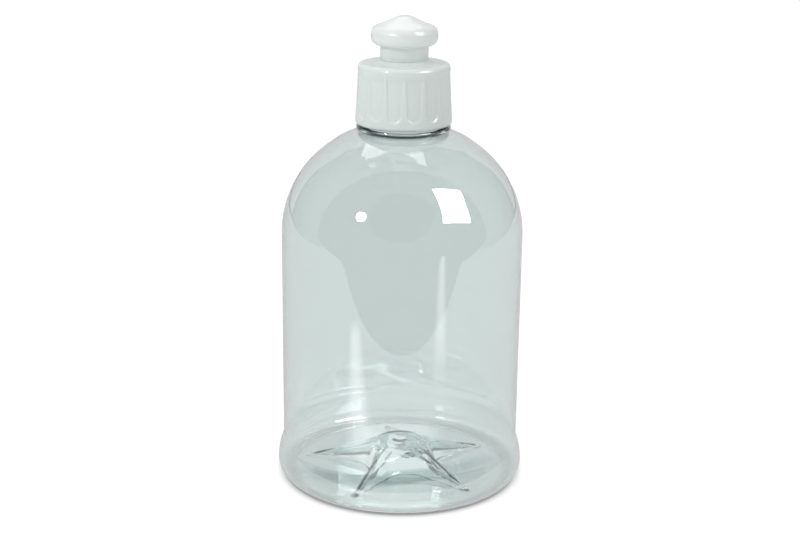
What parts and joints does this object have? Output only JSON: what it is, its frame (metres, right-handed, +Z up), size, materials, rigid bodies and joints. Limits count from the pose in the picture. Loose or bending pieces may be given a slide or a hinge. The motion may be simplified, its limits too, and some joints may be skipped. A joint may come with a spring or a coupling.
{
  "type": "push-pull cap bottle",
  "caption": "Clear domed PET bottle with a star-shaped push-up base and a white fluted screw closure whose mushroom-headed spout pulls up to open.",
  "frame": {"origin": "centre of the standing ring, on the surface that the bottle stands on", "axes": "+Z up along the bottle's axis; the front, as the picture shows it, faces -Y; +X is to the right seen from the front"},
  "size_m": [0.0836, 0.0836, 0.1557],
  "materials": {
    "clear_pet": "clear, polished mould",
    "white_pp": "semi-gloss, white",
    "white_pe": "semi-gloss, white",
    "foamed_pe": "matte foam"
  },
  "bodies": {
    "container": {"bottle": "clear_pet"},
    "seal": {"liner": "foamed_pe"},
    "closure": {"cap": "white_pp"},
    "pull_spout": {"spout": "white_pe"}
  },
  "joints": [
    {"name": "closure_lift", "type": "slide", "parent": "container", "child": "seal", "axis": [0, 0, 1], "range_m": [0, 0.00635]},
    {"name": "closure_turn", "type": "hinge", "parent": "seal", "child": "closure", "pos_m": [0, 0, 0.1393], "axis": [0, 0, 1], "range_deg": [0, 540]},
    {"name": "spout_pull", "type": "slide", "parent": "closure", "child": "pull_spout", "axis": [0, 0, 1], "range_m": [0, 0.005]}
  ],
  "couplings": [
    {"joint": "closure_lift", "follows": "closure_turn", "m_per_rad": 0.00067322}
  ]
}
